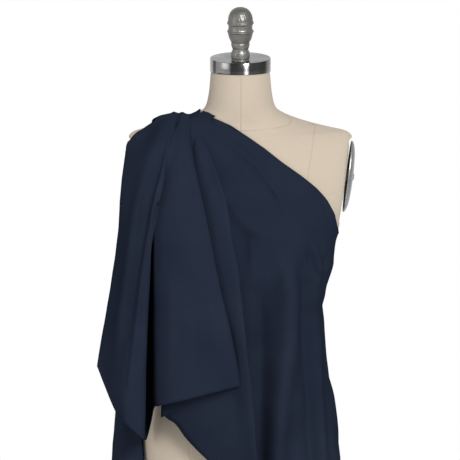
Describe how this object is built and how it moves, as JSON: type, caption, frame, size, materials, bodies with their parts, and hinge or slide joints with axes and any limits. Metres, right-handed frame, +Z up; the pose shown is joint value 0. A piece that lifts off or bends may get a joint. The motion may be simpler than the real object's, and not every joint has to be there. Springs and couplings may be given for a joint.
{
  "type": "dress form with draped cloth",
  "caption": "Linen-covered dress form on a rolling, height-adjustable stand, with a length of navy cloth draped over one shoulder.",
  "frame": {"origin": "on the floor under the mast's axis, the centre of the four casters", "axes": "+Z up along the mast, -Y the way the form faces, +X towards the form's own left arm"},
  "size_m": [0.62, 0.62, 1.63],
  "materials": {
    "linen": "matte",
    "papier_mache": "matte",
    "wood": "satin",
    "dark_board": "matte",
    "polished_steel": "polished",
    "cast_grey": "satin",
    "iron_tube": "satin",
    "chrome_tube": "polished",
    "black_plastic": "satin",
    "tyre_rubber": "matte",
    "zinc_steel": "satin",
    "nylon": "satin",
    "navy_cloth": "matte"
  },
  "bodies": {
    "stand": {"base_casting": "cast_grey", "column": "iron_tube", "column_nut": "zinc_steel", "guide_bush": "nylon", "column_collar": "cast_grey"},
    "height_lock": {"height_lock_screw": "black_plastic"},
    "mast": {"mast": "chrome_tube", "mast_end_plug": "black_plastic"},
    "form": {"canvas_side_back_left": "linen", "canvas_center_back_left": "linen", "canvas_center_back_right": "linen", "canvas_side_back_right": "linen", "canvas_side_front_right": "linen", "canvas_center_front_right": "linen", "canvas_center_front_left": "linen", "canvas_side_front_left": "linen", "canvas_neck_left": "linen", "canvas_neck_right": "linen", "shell_back": "papier_mache", "shell_front": "papier_mache", "neck_block": "wood", "bottom_board": "wood", "armhole_board_left": "dark_board", "armhole_board_right": "dark_board", "neck_cap": "polished_steel", "arm_plate_left": "polished_steel", "arm_plate_right": "polished_steel", "pole_socket": "cast_grey", "neck_stud": "zinc_steel", "neck_stud_nut": "zinc_steel", "arm_plate_spacer_left": "zinc_steel", "arm_plate_spacer_right": "zinc_steel", "arm_plate_bolt_left": "zinc_steel", "arm_plate_bolt_right": "zinc_steel", "socket_screw_1": "zinc_steel", "socket_screw_2": "zinc_steel", "socket_screw_3": "zinc_steel", "socket_screw_4": "zinc_steel", "fabric_length": "navy_cloth"},
    "swivel_lock": {"swivel_lock_screw": "black_plastic"},
    "neck_knob": {"neck_knob": "cast_grey"},
    "caster_1": {"caster_fork_1": "zinc_steel", "caster_axle_1": "zinc_steel"},
    "wheel_1": {"caster_tyre_1": "tyre_rubber", "caster_hub_1": "black_plastic"},
    "caster_2": {"caster_fork_2": "zinc_steel", "caster_axle_2": "zinc_steel"},
    "wheel_2": {"caster_tyre_2": "tyre_rubber", "caster_hub_2": "black_plastic"},
    "caster_3": {"caster_fork_3": "zinc_steel", "caster_axle_3": "zinc_steel"},
    "wheel_3": {"caster_tyre_3": "tyre_rubber", "caster_hub_3": "black_plastic"},
    "caster_4": {"caster_fork_4": "zinc_steel", "caster_axle_4": "zinc_steel"},
    "wheel_4": {"caster_tyre_4": "tyre_rubber", "caster_hub_4": "black_plastic"}
  },
  "joints": [
    {"name": "mast_slide", "type": "slide", "parent": "stand", "child": "mast", "axis": [0, 0, 1], "range_m": [-0.14, 0.15]},
    {"name": "height_lock_turn", "type": "hinge", "parent": "stand", "child": "height_lock", "pos_m": [0, 0.03, 0.486], "axis": [0, 1, 0], "range_deg": [0, 720]},
    {"name": "form_swivel", "type": "hinge", "parent": "mast", "child": "form", "pos_m": [0, 0, 0.76], "axis": [0, 0, 1], "continuous": true},
    {"name": "swivel_lock_turn", "type": "hinge", "parent": "form", "child": "swivel_lock", "pos_m": [0, 0.03, 0.722], "axis": [0, 1, 0], "range_deg": [0, 720]},
    {"name": "neck_knob_turn", "type": "hinge", "parent": "form", "child": "neck_knob", "pos_m": [0, -0.02761, 1.53558], "axis": [0, -0.0523, 0.9986], "continuous": true},
    {"name": "caster_swivel_1", "type": "hinge", "parent": "stand", "child": "caster_1", "pos_m": [0.262, 0, 0.09], "axis": [0, 0, 1], "continuous": true},
    {"name": "wheel_spin_1", "type": "hinge", "parent": "caster_1", "child": "wheel_1", "pos_m": [0.28, 0, 0.03], "axis": [0, 1, 0], "continuous": true},
    {"name": "caster_swivel_2", "type": "hinge", "parent": "stand", "child": "caster_2", "pos_m": [0, 0.262, 0.09], "axis": [0, 0, 1], "continuous": true},
    {"name": "wheel_spin_2", "type": "hinge", "parent": "caster_2", "child": "wheel_2", "pos_m": [0, 0.28, 0.03], "axis": [-1, 0, 0], "continuous": true},
    {"name": "caster_swivel_3", "type": "hinge", "parent": "stand", "child": "caster_3", "pos_m": [-0.262, 0, 0.09], "axis": [0, 0, 1], "continuous": true},
    {"name": "wheel_spin_3", "type": "hinge", "parent": "caster_3", "child": "wheel_3", "pos_m": [-0.28, 0, 0.03], "axis": [0, -1, 0], "continuous": true},
    {"name": "caster_swivel_4", "type": "hinge", "parent": "stand", "child": "caster_4", "pos_m": [0, -0.262, 0.09], "axis": [0, 0, 1], "continuous": true},
    {"name": "wheel_spin_4", "type": "hinge", "parent": "caster_4", "child": "wheel_4", "pos_m": [0, -0.28, 0.03], "axis": [1, 0, 0], "continuous": true}
  ]
}
